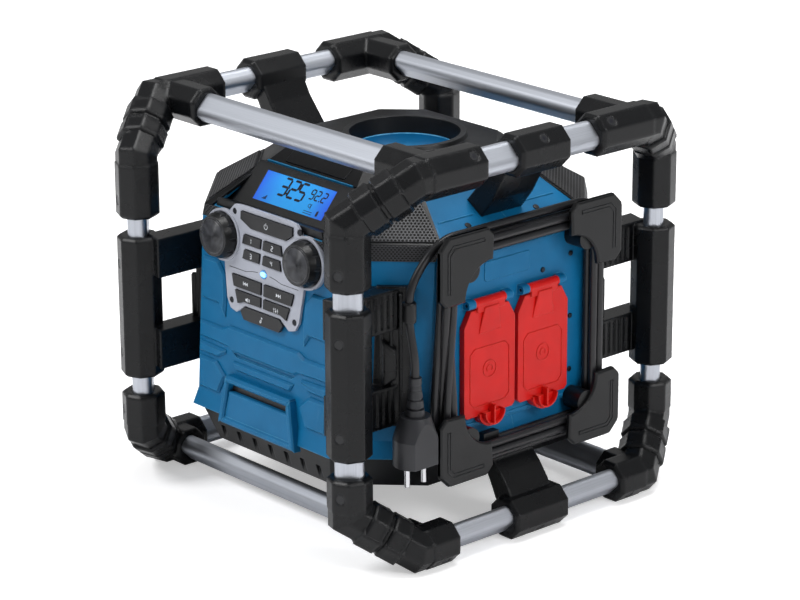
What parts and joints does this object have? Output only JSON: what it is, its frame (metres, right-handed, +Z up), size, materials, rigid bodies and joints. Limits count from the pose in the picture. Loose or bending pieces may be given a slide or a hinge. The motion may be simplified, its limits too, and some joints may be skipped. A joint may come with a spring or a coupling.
{
  "type": "jobsite radio",
  "caption": "Jobsite radio in a tubular roll cage, with a sloped display, two knobs, keys, two lidded mains outlets and a wound mains cord.",
  "frame": {"origin": "on the ground, under the middle of the cage", "axes": "+Z up; the display faces -Y and the outlets face +X"},
  "size_m": [0.3858, 0.4046, 0.3663],
  "materials": {
    "corner_moulding": "satin black moulding",
    "mount_moulding": "satin black moulding",
    "tube_aluminium": "satin extruded",
    "housing_blue": "fine grained",
    "cover_black": "fine grained",
    "panel_silver": "satin silver",
    "key_black": "satin",
    "knob_black": "satin",
    "display_backlit": "backlit",
    "lamp_blue": "clear",
    "grille_black": "perforated",
    "driver_dark": "matt",
    "lid_red": "satin",
    "socket_black": "satin",
    "screw_steel": "blackened",
    "cord_rubber": "satin",
    "plug_rubber": "satin",
    "pin_brass": "polished",
    "board_inner": "matt"
  },
  "bodies": {
    "radio": {"base_skid": "cover_black", "bass_panel": "housing_blue", "bottom_rail_mount_left": "mount_moulding", "bottom_rail_mount_right": "mount_moulding", "bowl_liner": "housing_blue", "cage_screws": "screw_steel", "control_panel": "panel_silver", "cord_gland": "cover_black", "cord_hooks": "cover_black", "cord_tail": "cord_rubber", "cord_winding": "cord_rubber", "corner_bottom_back_left": "corner_moulding", "corner_bottom_back_right": "corner_moulding", "corner_bottom_front_left": "corner_moulding", "corner_bottom_front_right": "corner_moulding", "corner_top_back_left": "corner_moulding", "corner_top_back_right": "corner_moulding", "corner_top_front_left": "corner_moulding", "corner_top_front_right": "corner_moulding", "cross_rails": "tube_aluminium", "display_bezel": "cover_black", "display_lens": "display_backlit", "front_housing": "housing_blue", "lid_pins": "screw_steel", "outlets_plate": "housing_blue", "panel_screws": "screw_steel", "plug": "plug_rubber", "plug_pins": "pin_brass", "post_mount_back_left": "mount_moulding", "post_mount_back_right": "mount_moulding", "post_mount_front_left": "mount_moulding", "post_mount_front_right": "mount_moulding", "posts": "tube_aluminium", "power_supply": "board_inner", "rear_housing": "housing_blue", "side_rails": "tube_aluminium", "socket_inserts": "socket_black", "speaker_drivers": "driver_dark", "speaker_grilles": "grille_black", "status_lens": "lamp_blue", "strain_relief": "plug_rubber", "top_cover": "cover_black", "top_rail_mount_left": "mount_moulding", "top_rail_mount_right": "mount_moulding"},
    "key_1": {"key_1": "key_black"},
    "key_2": {"key_2": "key_black"},
    "key_3": {"key_3": "key_black"},
    "key_4": {"key_4": "key_black"},
    "key_mode": {"key_mode": "key_black"},
    "key_mute": {"key_mute": "key_black"},
    "key_next": {"key_next": "key_black"},
    "key_power": {"key_power": "key_black"},
    "key_previous": {"key_previous": "key_black"},
    "key_tone": {"key_tone": "key_black"},
    "left_knob": {"left_knob": "knob_black"},
    "right_knob": {"right_knob": "knob_black"},
    "outlet_lid_left": {"outlet_lid_left": "lid_red"},
    "outlet_lid_right": {"outlet_lid_right": "lid_red"},
    "media_door": {"media_door": "cover_black"},
    "battery_door": {"battery_door": "housing_blue"}
  },
  "joints": [
    {"name": "left_knob_turn", "type": "hinge", "parent": "radio", "child": "left_knob", "pos_m": [-0.057, -0.15129, 0.25175], "axis": [0, -0.9983, 0.0577], "continuous": true},
    {"name": "right_knob_turn", "type": "hinge", "parent": "radio", "child": "right_knob", "pos_m": [0.057, -0.15129, 0.25175], "axis": [0, -0.9983, 0.0577], "continuous": true},
    {"name": "key_1_press", "type": "slide", "parent": "radio", "child": "key_1", "axis": [0, 0.9983, -0.0577], "range_m": [0, 0.001], "stiffness_N_per_m": 400, "springref_m": -0.001},
    {"name": "key_2_press", "type": "slide", "parent": "radio", "child": "key_2", "axis": [0, 0.9983, -0.0577], "range_m": [0, 0.001], "stiffness_N_per_m": 400, "springref_m": -0.001},
    {"name": "key_3_press", "type": "slide", "parent": "radio", "child": "key_3", "axis": [0, 0.9983, -0.0577], "range_m": [0, 0.001], "stiffness_N_per_m": 400, "springref_m": -0.001},
    {"name": "key_4_press", "type": "slide", "parent": "radio", "child": "key_4", "axis": [0, 0.9983, -0.0577], "range_m": [0, 0.001], "stiffness_N_per_m": 400, "springref_m": -0.001},
    {"name": "key_mode_press", "type": "slide", "parent": "radio", "child": "key_mode", "axis": [0, 0.9983, -0.0577], "range_m": [0, 0.001], "stiffness_N_per_m": 400, "springref_m": -0.001},
    {"name": "key_mute_press", "type": "slide", "parent": "radio", "child": "key_mute", "axis": [0, 0.9983, -0.0577], "range_m": [0, 0.001], "stiffness_N_per_m": 400, "springref_m": -0.001},
    {"name": "key_next_press", "type": "slide", "parent": "radio", "child": "key_next", "axis": [0, 0.9983, -0.0577], "range_m": [0, 0.001], "stiffness_N_per_m": 400, "springref_m": -0.001},
    {"name": "key_power_press", "type": "slide", "parent": "radio", "child": "key_power", "axis": [0, 0.9983, -0.0577], "range_m": [0, 0.001], "stiffness_N_per_m": 400, "springref_m": -0.001},
    {"name": "key_previous_press", "type": "slide", "parent": "radio", "child": "key_previous", "axis": [0, 0.9983, -0.0577], "range_m": [0, 0.001], "stiffness_N_per_m": 400, "springref_m": -0.001},
    {"name": "key_tone_press", "type": "slide", "parent": "radio", "child": "key_tone", "axis": [0, 0.9983, -0.0577], "range_m": [0, 0.001], "stiffness_N_per_m": 400, "springref_m": -0.001},
    {"name": "outlet_lid_left_hinge", "type": "hinge", "parent": "radio", "child": "outlet_lid_left", "pos_m": [0.1574, -0.035, 0.217], "axis": [0, -1, 0], "range_deg": [0, 110]},
    {"name": "outlet_lid_right_hinge", "type": "hinge", "parent": "radio", "child": "outlet_lid_right", "pos_m": [0.1574, 0.029, 0.217], "axis": [0, -1, 0], "range_deg": [0, 110]},
    {"name": "media_door_hinge", "type": "hinge", "parent": "radio", "child": "media_door", "pos_m": [0, -0.09664, 0.31164], "axis": [1, 0, 0], "range_deg": [0, 80]},
    {"name": "battery_door_hinge", "type": "hinge", "parent": "radio", "child": "battery_door", "pos_m": [0, 0.1622, 0.13218], "axis": [-1, 0, 0], "range_deg": [0, 100]}
  ]
}
